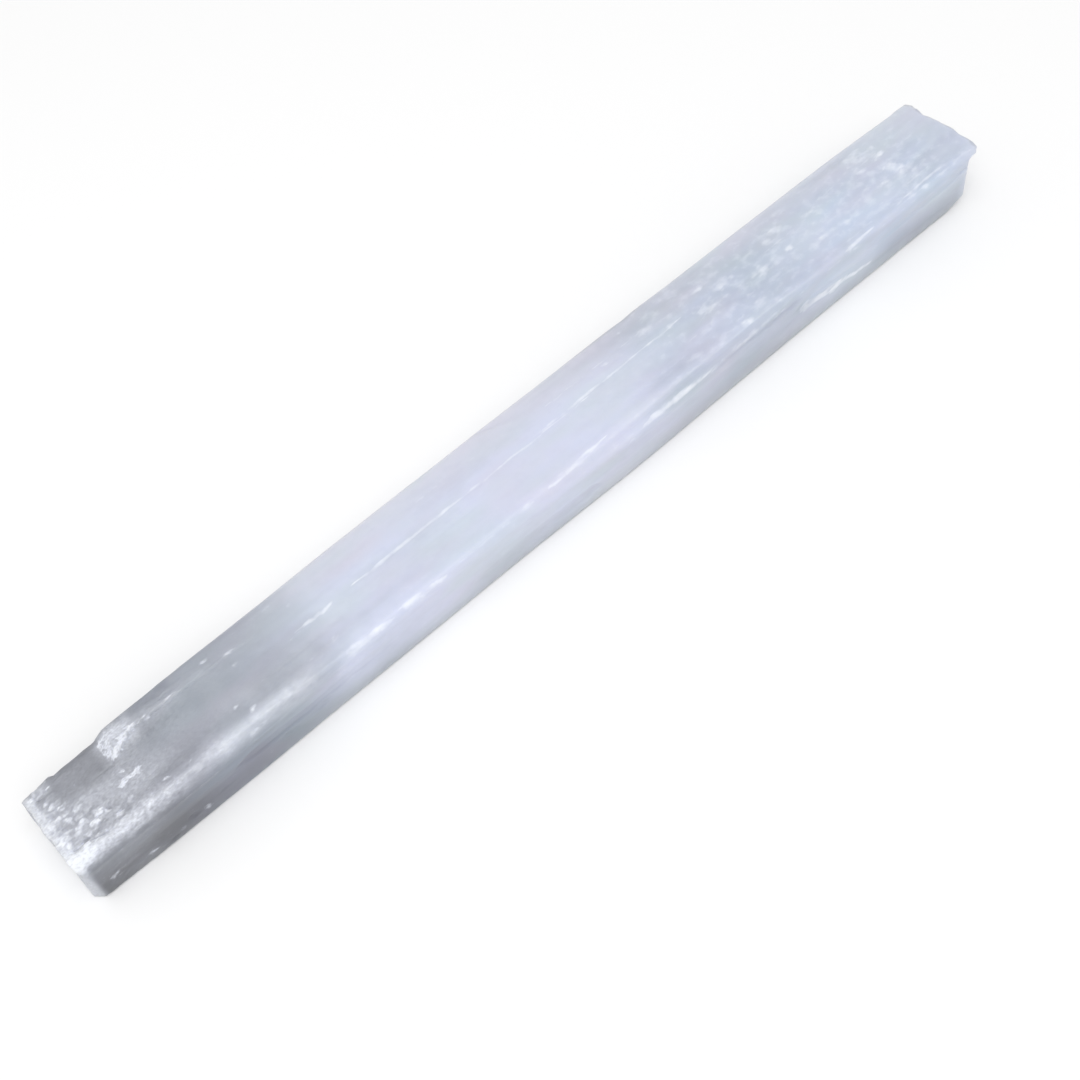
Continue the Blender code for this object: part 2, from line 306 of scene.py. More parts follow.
# The faces at the low and the high side of each axis, and how far an outward ray turns towards
# a face to belong to it, and to be on its flat part. Then the distances from the front top edge
# at which the arris begins, and at which it is whole.
FACE_PAIRS = (("near", "far"), ("front", "back"), ("under", "top"))
FACE_TURN = (0.3, 0.8)
FLAT_TURN = (0.9, 1.0)
ARRIS_TURN = (3.6, 1.8)

# The seed of each noise.
SEEDS = {
    "fibres": 1, "ledges": 11, "ends": 21, "frost": 31, "veil": 33, "crumbs": 41, "ridges": 45,
    "breakup": 51, "milk": 61,
}

# Wandering relief of the fibres: cell size along and across, and depth. All relief goes inward.
FIBRE_WAVES = (((60, 3.6), 0.045), ((26, 1.3), 0.016), ((11, 0.5), 0.005))
# Cleavage ledges: level lines of a long noise, each a step of this height, the stretch between
# two level lines that its wall takes up, and how much of it each face has.
LEDGE_SIZE = (95, 5.5, 5.5)
LEDGES = 4
LEDGE_HEIGHT = 0.035
LEDGE_WALL = (0.44, 0.56)
LEDGE_SHARES = {"top": 0.15, "front": 0.5, "back": 1.0, "under": 0.9}
# Crumbly hackle of the frosted end: the station that it reaches at each distance across, the
# fade past it, how much of it is on the side faces, and how much of it the arris loses.
HACKLE_REACH = ((0, 13.0), (4, 12.0), (6.5, 10.5), (8, 7.0), (9.5, 5.0), (17, 4.0))
HACKLE_FADE = 2.0
HACKLE_ON_SIDES = 0.2
HACKLE_OFF_ARRIS = 0.6
# Its crumbs: their size, how far they stray from their cells, how wide their borders are, how
# far their tops differ, and how deep the gaps between them are. Then its ridges.
CRUMB_SIZE = (1.15, 0.68, 0.68)
CRUMB_SHIFT = 0.42
CRUMB_BORDER = 0.30
CRUMB_LEVEL = 0.18
CRUMB_GAP = 0.11
HACKLE_RIDGES = ((7, 0.9), 0.24)
# How light the crumbs look: their tone and this, less a share of how deep the ridges cut, which is
# painted shade in the ridge cuts, and never below the last. Then what they add to the frost (an
# even share, and one that goes with their lightness) and to the veil.
LIGHT_SHIFT = 0.3
PAINTED_RIDGE_SHADE = 0.6
LIGHT_LEAST = -0.25
CRUMB_FROST = (0.12, 0.62)
CRUMB_VEIL = 0.40
# Bruises along the front arris: from station, to station, fade, and what they add to the veil.
ARRIS_BRUISES = (10, 46, 4)
BRUISE_VEIL = 0.11
# The fibre ends on both broken ends, the rim that stays free of them, and how far the near end
# leans back between two heights.
END_WAVES = (((9, 2.6), 0.20), ((5, 0.9), 0.14), ((3, 0.42), 0.08))
END_RIM = 2.5
NEAR_LEAN = 0.6
NEAR_LEAN_HEIGHTS = (1, 11)
# Where the front arris, and the front step of the low bed, are worn round, and how many times
# these stretches are smoothed.
Worn = namedtuple("Worn", "face start end low high fade")
WORN = (
    Worn("arris", 50, 98, BEFORE, ABOVE, 4.0),
    Worn("arris", 148, 188, BEFORE, ABOVE, 3.0),
    Worn("top", 7, 60, 2.4, 7.0, 1.5),
    Worn("top", 4, 12, 8.6, 11.6, 1.0),
    Worn("top", 45, 189, 1.5, 15.5, 1.5),
)
WORN_PASSES = 12

# Splinters that stand out: thin steps and slivers along the fibres, with the frost in their beds
# and how much clearer (below 0) the crystal looks there. On the arris they are placed across,
# and on the bevel, which is the same stretch, by height.
Splinter = namedtuple(
    "Splinter", "face start length at drift width depth frost milk", defaults=(0.0,)
)
STREAKS = (
    Splinter("top", 51.5, -7.5, 8.4, 0.1, 1.2, 0.05, 0.55),
    Splinter("top", 54.5, 50.0, 8.7, 0.4, 0.95, 0.05, 0.85),
    Splinter("top", 92.0, 34.0, 9.4, 0.5, 0.8, 0.04, 0.70),
    Splinter("top", 97.0, 22.0, 12.6, 0.3, 0.5, 0.03, 0.55),
    Splinter("top", 66.0, 30.0, 13.2, 0.2, 0.4, 0.03, 0.30),
    Splinter("arris", 47.0, 9.5, 0.6, -0.2, 1.9, 0.04, 0.72),
    Splinter("arris", 57.5, 9.5, 0.9, -0.6, 1.5, 0.03, 0.75),
    Splinter("arris", 86.0, -20.0, 0.7, -0.1, 0.8, 0.02, 0.35),
    Splinter("arris", 87.5, 14.0, 0.9, 0.7, 1.3, 0.03, 0.75),
    Splinter("bevel", 107.0, 17.0, 10.4, -0.2, 1.6, 0.05, 0.70),
    Splinter("arris", 156.0, 8.0, 0.5, 0.3, 1.1, 0.04, 0.80),
    # Painted highlight: a line of frost with no bed, along the far end's front edge.
    Splinter("arris", 190.0, -22.0, 0.7, 0.0, 1.0, 0.00, 0.28),
    Splinter("top", 183.0, -17.0, 1.8, -0.6, 0.8, 0.02, 0.42),
    Splinter("top", 38.0, -23.0, 12.9, 0.3, 0.8, 0.06, 0.55),
    Splinter("front", 145.0, 19.0, 6.4, -2.1, 2.0, 0.06, 0.30),
    Splinter("front", 163.0, 22.0, 3.6, -0.6, 1.6, 0.05, 0.0, -0.08),
)

# Small splinters at random: how many on each face, over (station from, to), and the ranges of
# distance across, length, width, depth and frost that they are drawn from. Each also drifts
# across by up to RANDOM_DRIFT over its length.
Splinters = namedtuple("Splinters", "face count stations places lengths widths depths frost")
SPLINTERS = (
    Splinters("top", 30, (0, 16), (1.5, 15), (1.5, 5), (0.4, 1.0), (0.06, 0.16), (0.1, 0.5)),
    Splinters("top", 22, (14, 116), (1.0, 16), (4, 18), (0.3, 0.8), (0.02, 0.05), (0.0, 0.2)),
    Splinters("top", 26, (112, 189), (1.0, 16), (2, 8), (0.35, 0.9), (0.01, 0.03), (0.05, 0.30)),
    Splinters("front", 30, (36, 189), (0.8, 10), (4, 20), (0.35, 1.0), (0.015, 0.045), (0.0, 0.25)),
    Splinters("back", 80, (2, 189), (0.8, 11.5), (4, 26), (0.35, 1.2), (0.04, 0.14), (0.0, 0.45)),
    Splinters("under", 60, (4, 187), (1.0, 16), (5, 26), (0.35, 1.1), (0.03, 0.10), (0.0, 0.35)),
)
RANDOM_DRIFT = 0.3

# A splinter's bed: the share of its length over which it widens from its start, how its sides
# rise (in half widths from its middle), and how much of its depth it loses towards its end.
# Then its frost: an even share, and one that goes with the breakup.
SPLIT_START = 0.12
SPLIT_SIDES = (1.1, 0.25)
SPLIT_RISE = 0.7
SPLIT_FROST = (0.8, 0.6)
SPLIT_LEAST_WIDTH = 0.001
# How ragged splinters and patches are: the size of the cells that break them up, how far these
# cells push a splinter across, in millimetres, and how far they and the crumbs push a patch's
# outline, in half widths.
BREAKUP_SIZE = (1.9, 0.6, 0.6)
CRINKLE = 0.22
RAGGED = 0.25
CRUMBLY = 0.45
# How far a face leans (1 less its cosine) to be a step's wall, and how frosted such walls are,
# keyed by station.
WALL_LEAN = (0.04, 0.12)
WALL_FROST_KEYS = ((40, 0.6), (60, 0.12), (115, 0.12), (140, 0.35))

# Soft-edged white patches, where the surface is crushed. Their borders are soft between these
# distances, in half widths. Then their frost: an even share, and one that goes with the crumbs.
Patch = namedtuple("Patch", "face start end at drift width frost")
PATCHES = (
    Patch("top", 10.9, 14.1, 7.3, -0.2, 2.8, 0.95),
    Patch("top", 13.2, 15.6, 7.0, 0.0, 2.2, 0.65),
    Patch("top", 13.6, 17.6, 6.9, 0.0, 2.6, 0.45),
    Patch("top", 6.2, 8.1, 11.7, 0.0, 1.1, 0.60),
    Patch("top", 2.4, 5.1, 10.1, 0.0, 1.6, 0.45),
    Patch("top", 6.2, 8.4, 5.3, 0.0, 1.2, 0.50),
    Patch("top", 5.3, 6.8, 3.4, 0.0, 0.9, 0.50),
    Patch("top", 10.2, 12.6, 0.9, 0.0, 1.3, 0.50),
    Patch("top", 14.0, 15.1, 3.1, 0.0, 0.7, 0.60),
    Patch("top", 16.3, 18.2, 3.0, 0.0, 1.1, 0.55),
    Patch("top", 12.0, 15.2, 12.9, -2.2, 2.6, 0.50),
    Patch("top", 12.6, 18.4, 10.6, 2.6, 1.5, 0.55),
    Patch("top", 15.5, 22.0, 12.9, -0.4, 2.3, 0.39),
    Patch("top", 20.0, 26.8, 12.6, 0.0, 1.9, 0.29),
    Patch("top", 20.5, 22.0, 2.9, 0.0, 1.0, 0.60),
    Patch("top", 26.6, 28.2, 7.3, 0.0, 1.0, 0.45),
    Patch("top", 31.0, 32.8, 14.2, 0.0, 1.2, 0.48),
    Patch("top", 34.2, 36.4, 12.6, 0.0, 1.1, 0.30),
    Patch("top", 45.9, 47.2, 12.8, 0.0, 0.8, 0.60),
    Patch("top", 46.6, 49.0, 3.8, 0.0, 1.3, 0.40),
    Patch("top", 15.0, 17.0, 12.8, 0.0, 1.6, 0.55),
    Patch("top", 14.6, 16.4, 14.7, 0.0, 1.3, 0.35),
    Patch("top", 18.9, 20.3, 7.2, 0.0, 1.1, 0.60),
    Patch("top", 0.8, 5.5, 15.0, -0.4, 1.8, 0.40),
    Patch("top", 34.2, 35.8, 10.5, 0.0, 1.0, 0.62),
    Patch("top", 30.4, 33.6, 3.1, 0.0, 1.7, 0.58),
    Patch("top", 30.2, 31.9, 5.1, 0.0, 1.1, 0.60),
    Patch("arris", 27.5, 37.0, 0.5, 0.0, 2.2, 0.45),
    Patch("top", 43.6, 51.8, 8.4, 0.0, 1.2, 0.62),
    Patch("top", 133.9, 138.1, 10.1, 0.0, 2.0, 0.47),
    Patch("top", 131.4, 133.4, 12.3, 0.0, 1.0, 0.47),
    Patch("top", 128.0, 132.3, 8.7, -0.8, 2.0, 0.40),
    Patch("top", 118.0, 121.6, 12.1, 0.9, 1.8, 0.40),
    Patch("top", 109.8, 111.5, 12.1, 0.0, 0.9, 0.61),
    Patch("top", 116.4, 118.0, 15.6, 0.0, 0.9, 0.56),
    Patch("top", 141.0, 145.2, 7.4, 0.0, 2.0, 0.35),
    Patch("top", 144.5, 146.7, 6.8, 0.0, 1.1, 0.47),
    Patch("top", 139.8, 142.4, 0.7, 0.0, 1.2, 0.50),
    Patch("top", 136.8, 139.5, 3.3, 0.0, 1.3, 0.42),
    Patch("top", 132.0, 135.0, 1.6, 0.0, 1.5, 0.40),
    Patch("top", 175.7, 178.2, 11.1, 0.0, 1.2, 0.61),
    Patch("top", 176.0, 178.3, 13.4, 0.0, 1.1, 0.47),
    Patch("top", 170.4, 172.9, 10.6, 0.0, 1.2, 0.42),
    Patch("top", 170.8, 176.2, 13.8, 0.0, 2.5, 0.35),
    Patch("top", 174.3, 179.0, 7.8, -0.8, 2.1, 0.35),
    Patch("top", 176.0, 180.4, 5.7, 0.0, 2.0, 0.35),
    Patch("top", 171.8, 173.8, 6.1, 0.0, 0.9, 0.47),
    Patch("top", 175.8, 178.0, 0.8, 0.0, 0.9, 0.66),
    Patch("top", 159.8, 162.2, 4.6, 0.0, 1.1, 0.47),
    Patch("top", 149.8, 153.2, 12.1, 0.0, 1.3, 0.55),
    Patch("top", 157.5, 159.4, 10.8, 0.0, 0.9, 0.45),
    Patch("top", 154.4, 156.8, 5.2, 0.0, 1.1, 0.40),
    Patch("top", 149.0, 150.8, 7.6, 0.0, 1.0, 0.50),
    Patch("top", 146.8, 149.0, 11.3, 0.0, 1.0, 0.42),
    Patch("top", 122.8, 124.6, 10.1, 0.0, 0.9, 0.42),
    Patch("bevel", 112.0, 127.0, 10.3, 0.0, 1.1, 0.50),
    Patch("bevel", 123.0, 142.0, 10.3, 0.1, 1.0, 0.42),
    Patch("front", 143.5, 153.0, 6.6, -1.0, 2.0, 0.62),
    Patch("front", 149.0, 158.0, 6.0, -1.0, 1.8, 0.80),
    Patch("front", 156.5, 165.0, 5.2, -1.0, 1.2, 0.95),
    Patch("front", 2.7, 5.3, 3.8, 0.0, 1.4, 0.62),
    Patch("front", 9.0, 10.9, 2.5, 0.0, 1.3, 0.70),
    Patch("front", 14.0, 15.9, 2.4, 0.0, 1.2, 0.62),
    Patch("front", 18.6, 20.4, 2.9, 0.0, 1.5, 0.72),
)
PATCH_BORDER = (1.2, 0.35)
PATCH_FROST = (0.9, 0.35)

# Stretches of a face with soft borders, and what they add: frost in crumbs and specks, an even
# veil of fine frost, and milkiness.
Zone = namedtuple("Zone", "face start end low high fade frost veil milk")
ZONES = (
    Zone("top", BEFORE, 11.5, BEFORE, ABOVE, 2.5, 0.16, 0.0, 0.0),
    Zone("top", BEFORE, 1.6, BEFORE, ABOVE, 0.7, 0.20, 0.22, 0.0),
    Zone("top", BEFORE, 4.0, BEFORE, 3.0, 1.0, 0.05, 0.16, 0.0),
    Zone("top", BEFORE, 4.2, 14.3, ABOVE, 0.8, 0.14, 0.48, 0.0),
    Zone("top", 1.4, 5.5, 11.4, 14.0, 0.8, 0.0, -0.16, 0.0),
    Zone("top", 4.5, 12.4, 9.4, 14.6, 1.4, -0.30, -0.20, 0.0),
    Zone("top", 6, 12, 14.6, ABOVE, 1.0, -0.20, -0.20, 0.0),
    Zone("top", 16, 23, 2.0, 4.8, 1.2, 0.0, -0.05, 0.0),
    Zone("top", 24, 34, 1.0, 6.5, 1.5, 0.04, 0.03, 0.0),
    Zone("top", 32, 44, 1.0, 6.5, 1.5, 0.06, 0.10, 0.0),
    Zone("top", 8, 16, 1.8, 4.6, 1.2, 0.02, 0.03, 0.0),
    Zone("top", 18, 29, 8.0, 12.0, 2.0, -0.10, -0.10, 0.0),
    Zone("top", 17, 26, 14.6, ABOVE, 0.8, -0.06, -0.12, 0.0),
    Zone("top", 12.8, 18.5, 11.0, ABOVE, 0.9, 0.34, 0.20, 0.0),
    Zone("top", 12.5, 18, 15.0, ABOVE, 0.7, -0.12, -0.20, 0.0),
    Zone("top", 16, 26.5, 11.8, 13.6, 0.7, 0.08, 0.05, 0.0),
    Zone("top", 15, 44, 12.9, ABOVE, 1.0, 0.10, 0.0, 0.0),
    Zone("top", 116, 187, BEFORE, ABOVE, 6.0, 0.20, 0.0, 0.0),
    Zone("top", 184, BEYOND, 2, 13, 2.0, 0.0, 0.07, 0.0),
    Zone("top", 163, BEYOND, 15.4, ABOVE, 1.2, 0.0, 0.0, -0.14),
    Zone("arris", 14, 42, BEFORE, ABOVE, 3.0, 0.26, 0.18, 0.0),
    Zone("arris", 24, 42, BEFORE, ABOVE, 2.5, 0.08, 0.14, 0.0),
    Zone("arris", BEFORE, 14, BEFORE, ABOVE, 3.0, 0.05, 0.24, 0.0),
    Zone("arris", 104, 140, BEFORE, ABOVE, 4.0, 0.10, 0.06, 0.0),
    Zone("front", 4, 50, BEFORE, ABOVE, 4.0, 0.0, 0.0, 0.15),
    Zone("front", BEFORE, 1.4, BEFORE, ABOVE, 0.7, 0.15, 0.45, 0.2),
    Zone("front", 92, 155, BEFORE, 3.5, 1.5, 0.0, 0.0, 0.06),
    Zone("front", 11, 22, 3.4, 6.5, 1.5, 0.0, 0.0, -0.08),
    Zone("front", 14, 46, 6.8, ABOVE, 1.5, 0.0, 0.0, -0.06),
    Zone("front", 12, 18, BEFORE, ABOVE, 2.0, 0.0, 0.0, -0.06),
    Zone("front", 6, 12, BEFORE, 3.4, 1.5, 0.0, 0.0, 0.06),
    Zone("front", 110, 128, 3, 9, 1.5, 0.0, 0.0, 0.05),
    Zone("front", 148, 164, 3.5, 9, 1.5, 0.0, 0.0, 0.06),
    # Painted shade: the far end's front face darkens towards its foot.
    Zone("front", 168, BEYOND, 3.0, 6.5, 1.5, 0.0, 0.0, -0.10),
    Zone("front", 174, BEYOND, BEFORE, 3.2, 1.5, 0.0, 0.0, -0.12),
)


def drawn(groups, rng):
    """Random splinters from the ranges of each group."""
    for group in groups:
        for _ in range(group.count):
            start = rng.uniform(*group.stations)
            length = rng.uniform(*group.lengths) * rng.choice((-1, 1))
            place = rng.uniform(*group.places)
            drift = rng.uniform(-RANDOM_DRIFT, RANDOM_DRIFT)
            width = rng.uniform(*group.widths)
            depth = rng.uniform(*group.depths)
            frost = rng.uniform(*group.frost)
            yield Splinter(group.face, start, length, place, drift, width, depth, frost)


class Skin:
    """The blade's fine surface: where its points lie on the blade, and what each one is like."""

    def __init__(self, places, outward, lean):
        self.spots = places / MM - np.array((STATION_ZERO, ACROSS_ZERO, 0))
        self.station = self.spots[:, 0]
        self.depth = np.zeros(len(places))
        self.frost = np.zeros(len(places))
        self.veil = np.zeros(len(places))
        self.milk = keyed(MILK_AND_SHADE_KEYS, self.station)
        self.faces = self.face_shares(outward)
        self.ends = self.faces["near"] + self.faces["far"]
        flat = smooth_step(*FLAT_TURN, np.max(np.abs(outward), axis=1))
        self.walls = smooth_step(*WALL_LEAN, lean) * flat * (1 - self.ends)

    def face_shares(self, outward):
        """How much each point belongs to each face; the arris and bevel come on top of these."""
        shares = {}
        for axis, (low_face, high_face) in enumerate(FACE_PAIRS):
            shares[low_face] = smooth_step(*FACE_TURN, -outward[:, axis])
            shares[high_face] = smooth_step(*FACE_TURN, outward[:, axis])
        total = sum(shares.values())
        shares = {face: share / total for face, share in shares.items()}
        drop = self.spots[:, 2] - self.spots[:, 2].max()
        reach = np.hypot(np.maximum(self.spots[:, 1], 0), drop)
        shares["arris"] = shares["bevel"] = smooth_step(*ARRIS_TURN, reach)
        return shares

    def across(self, face):
        """The distance across a face: level on the top, underside and arris, else a height."""
        return self.spots[:, 1] if face in ("top", "under", "arris") else self.spots[:, 2]

    def waves(self, kinds, seed):
        """Sum of noises that are long along the fibres, each from 0 to its depth."""
        total = np.zeros(len(self.spots))
        for number, ((along, across), depth) in enumerate(kinds):
            total += depth * (0.5 + 0.5 * noise(self.spots, (along, across, across), seed + number))
        return total

    def clouds(self, cells, seed):
        size, strength = cells
        return strength * noise(self.spots, size, seed)

    def ledges(self, seed):
        """Thin steps that run along the level lines of a long noise."""
        level = LEDGES * noise(self.spots, LEDGE_SIZE, seed)
        part = level - np.floor(level)
        share = sum(self.faces[face] * amount for face, amount in LEDGE_SHARES.items())
        return LEDGE_HEIGHT * share * (smooth_step(*LEDGE_WALL, part) - part + 0.5)

    def within(self, start, length, item, shift=0):
        """How far along an item each point lies, and how far off its middle, in half widths."""
        along = (self.station - start) / length
        middle = item.at + item.drift * along + shift
        return along, np.abs(self.across(item.face) - middle) / (item.width / 2)

    def split(self, item, breakup):
        """Take a splinter out: abrupt where it starts, coming back out of the face at its end."""
        along, off = self.within(item.start, item.length, item, CRINKLE * breakup)
        outline = smooth_step(0, SPLIT_START, along) * np.sqrt(np.clip(1 - along, 0, 1))
        inside = smooth_step(*SPLIT_SIDES, off / np.maximum(outline, SPLIT_LEAST_WIDTH))
        inside = inside * (along > 0) * (along < 1) * self.faces[item.face]
        self.depth += item.depth * inside * (1 - SPLIT_RISE * np.clip(along, 0, 1))
        self.frost += item.frost * inside * (SPLIT_FROST[0] + SPLIT_FROST[1] * breakup)
        self.milk += item.milk * inside

    def patch(self, item, breakup, crumbs):
        """Whiten an oval patch whose outline follows the breakup and the crumbs."""
        along, off = self.within(item.start, item.end - item.start, item)
        off = np.hypot(2 * along - 1, off) + RAGGED * breakup - CRUMBLY * crumbs
        inside = smooth_step(*PATCH_BORDER, off) * self.faces[item.face]
        self.frost += item.frost * inside * (PATCH_FROST[0] + PATCH_FROST[1] * crumbs)

    def inside(self, item):
        """How much each point lies in a stretch of a face."""
        share = window(item.start, item.end, item.fade, self.station) * self.faces[item.face]
        return share * window(item.low, item.high, item.fade, self.across(item.face))

    def zone(self, item):
        inside = self.inside(item)
        self.frost += item.frost * inside
        self.veil += item.veil * inside
        self.milk += item.milk * inside


def rim_distance(across):
    """How far a coordinate lies inside its own range, in millimetres."""
    return np.minimum(across - across.min(), across.max() - across)


def worn(skin):
    """How worn each point is: 1 along the worn stretches, 0 away from them."""
    return np.max([skin.inside(item) for item in WORN], axis=0)


def carve_fibres(skin):
    """Fibre waves and ledges on the long faces, and fibre ends on the broken ones."""
    sides = 1 - skin.ends
    skin.depth += sides * (skin.waves(FIBRE_WAVES, SEEDS["fibres"]) + skin.ledges(SEEDS["ledges"]))
    inset = np.minimum(rim_distance(skin.spots[:, 1]), rim_distance(skin.spots[:, 2]))
    inset = smooth_step(0, END_RIM, inset)
    skin.depth += skin.ends * skin.waves(END_WAVES, SEEDS["ends"]) * inset
    skin.depth += skin.faces["near"] * NEAR_LEAN * smooth_step(*NEAR_LEAN_HEIGHTS, skin.spots[:, 2])


def lay_frost(skin):
    """The frost and the veil that the surface has before anything is split off it."""
    for face, amount in BASE_FROST.items():
        skin.frost += amount * skin.faces[face]
    skin.frost += skin.clouds(FROST_CLOUDS, SEEDS["frost"])
    skin.frost += skin.walls * keyed(WALL_FROST_KEYS, skin.station)
    uneven = 1 + skin.clouds(VEIL_CLOUDS, SEEDS["veil"])
    skin.veil += keyed(VEIL_KEYS, skin.station) * uneven * (skin.faces["top"] + skin.ends)


def hackle_share(skin):
    """How crumbly each point is: most on the top of the frosted end, little on its arris."""
    reach = keyed(HACKLE_REACH, skin.spots[:, 1])
    near = smooth_step(reach + HACKLE_FADE, reach - HACKLE_FADE, skin.station)
    near = near * between(HACKLE_ON_SIDES, 1, skin.faces["top"])
    return near * (1 - HACKLE_OFF_ARRIS * skin.faces["arris"]) * (1 - skin.ends)


def carve_hackle(skin, gaps, tones):
    """The crumbs and ridges of the frosted end, and the bruises along its arris."""
    hackled = hackle_share(skin)
    ridge_depth = HACKLE_RIDGES[1]
    ridges = skin.waves((HACKLE_RIDGES,), SEEDS["ridges"]) / ridge_depth
    relief = CRUMB_LEVEL * (0.5 - 0.5 * tones) + CRUMB_GAP * gaps + ridge_depth * ridges
    skin.depth += hackled * relief
    crumbs = tones * (1 - gaps)
    # Painted shade: the crumbs turn darker where the ridges cut deep.
    light = np.maximum(crumbs + LIGHT_SHIFT - PAINTED_RIDGE_SHADE * ridges, LIGHT_LEAST)
    skin.frost += hackled * (CRUMB_FROST[0] + CRUMB_FROST[1] * light)
    skin.veil += hackled * CRUMB_VEIL * light
    bruised = window(*ARRIS_BRUISES, skin.station) * skin.faces["arris"]
    skin.veil += BRUISE_VEIL * bruised * crumbs


def carve(skin):
    """All relief, frost and milkiness of the blade's surface."""
    carve_fibres(skin)
    lay_frost(skin)
    gaps, tones = crumbled(skin.spots, CRUMB_SIZE, SEEDS["crumbs"])
    carve_hackle(skin, gaps, tones)

    breakup = noise(skin.spots, BREAKUP_SIZE, SEEDS["breakup"])
    for item in (*STREAKS, *drawn(SPLINTERS, np.random.default_rng(SEED))):
        skin.split(item, breakup)
    for item in PATCHES:
        skin.patch(item, breakup, tones * (1 - gaps))
    for item in ZONES:
        skin.zone(item)

    skin.milk += skin.clouds(MILK_CLOUDS, SEEDS["milk"])
    # Painted shade: the upright faces turn clearer and darker towards their foot.
    upright = np.maximum(skin.faces["front"], np.maximum(skin.faces["back"], skin.ends))
    skin.milk -= upright * keyed(FOOT_SHADE_KEYS, skin.spots[:, 2])


def add_values(mesh, name, values):
    added = mesh.attributes.new(name, "FLOAT", "POINT")
    added.data.foreach_set("value", values.astype(np.float32))


def make_blade(frame):
    lattice = Lattice()
    surface = Surface(frame["nodes"][NODE])
    places, outward, lean = project(lattice, surface)
    lattice.ease_along(places)
    lattice.ease_around(places, worn(Skin(places, outward, lean)), WORN_PASSES)
    skin = Skin(places, outward, lean)
    carve(skin)
    places = places - outward * (skin.depth * MM)[:, None]
    places = np.clip(places, surface.low, surface.high)
    mesh = bpy.data.meshes.new("satin_blade")
    mesh.from_pydata(places.tolist(), [], lattice.quads().tolist())
    mesh.update()
    mesh.shade_smooth()
    add_values(mesh, "milk", np.clip(skin.milk, 0, 1))
    add_values(mesh, "frost", np.clip(skin.frost, 0, FROST_LIMIT))
    add_values(mesh, "veil", np.clip(skin.veil, 0, 1))
    blade = bpy.data.objects.new("satin_blade", mesh)
    bpy.context.scene.collection.objects.link(blade)
    return blade


# --------------------------------------------------------------------------- material

# Colours of the milky body, of the clear grey end, whose grey is partly painted shade, and of
# frosted fractures. The grey of the foot is painted shade and floor reflection.
LAVENDER = (0.650, 0.685, 0.825)
SKY = (0.575, 0.655, 0.790)
PEARL = (0.640, 0.645, 0.700)
ROSE = (0.665, 0.640, 0.745)
TEAL = (0.585, 0.670, 0.705)
FOOT_SHADE_GREY = (0.590, 0.615, 0.640)
CLEAR_AND_SHADED_GREY = (0.245, 0.252, 0.282)
CLEAR_TEAL = (0.230, 0.280, 0.330)
CLEAR_MAUVE = (0.275, 0.272, 0.345)
FROST = (0.85, 0.88, 0.95)

# Noises of the material: length and width of their cells in millimetres, and their detail.
MATERIAL_NOISES = {
    "hair": (14, 0.16, 3),
    "strand": (45, 1.3, 3),
    "mottle": (2.1, 1.25, 2),
    "crumb": (0.55, 0.28, 2),
    "rosy": (17, 6, 2),
    "tealy": (13, 5, 1),
}
# Tints over the first colour, each over the one before: what it goes by, where that begins and
# ends, how strong the tint gets, and its colour. The places (x, y and z) are in metres.
BODY_TINTS = (
    ("x", 0.015, 0.075, 1.0, SKY),
    ("x", 0.084, 0.093, 0.4, ROSE),
    ("y", 0.002, 0.008, 0.7, PEARL),
    ("rosy", 0.42, 0.72, 0.45, ROSE),
    ("tealy", 0.42, 0.72, 0.45, TEAL),
    # Painted shade and floor reflection: greyer and less blue towards the foot.
    ("z", 0.0050, 0.0015, 0.5, FOOT_SHADE_GREY),
)
CLEAR_TINTS = (
    ("rosy", 0.42, 0.62, 0.8, CLEAR_MAUVE),
    # Partly painted shade: the near end turns to the dark clear grey.
    ("x", -0.070, -0.082, 1.0, CLEAR_AND_SHADED_GREY),
)
# Ranges are (from, to, result at from, result at to). First how the strands and the mottle vary
# the milkiness; then how gritty the frost is, by x, as the product of two ranges; then how much
# the flecks cover, by their grain.
MILK_VARIATION = (0.3, 0.7, -0.03, 0.03)
GRIT_RANGES = ((-0.080, -0.066, 1.3, 0.35), (-0.055, -0.030, 1.0, 0.4))
FLECK_RANGE = (0.90, 1.75, 0.0, 0.9)
# Roughness and the crumbs' share of the bump by how much frost covers the body, and plain
# transmission by how clear the body is.
ROUGHNESS_RANGE = (0.0, 1.0, 0.36, 0.62)
CRUMB_BUMP_RANGE = (0.0, 0.6, 0.15, 1.0)
TRANSMISSION_RANGE = (0.1, 1.0, 0.0, 0.55)
HAIR_BUMP = 0.35
BUMP_STRENGTH = 0.3
BUMP_HEIGHT = 0.06 * MM
# What is the same all over the crystal.
EVEN_SETTINGS = {
    "IOR": 1.52,
    "Subsurface Weight": 0.6,
    "Subsurface Radius": (1.0, 1.0, 1.1),
    "Subsurface Scale": 2.5 * MM,
}


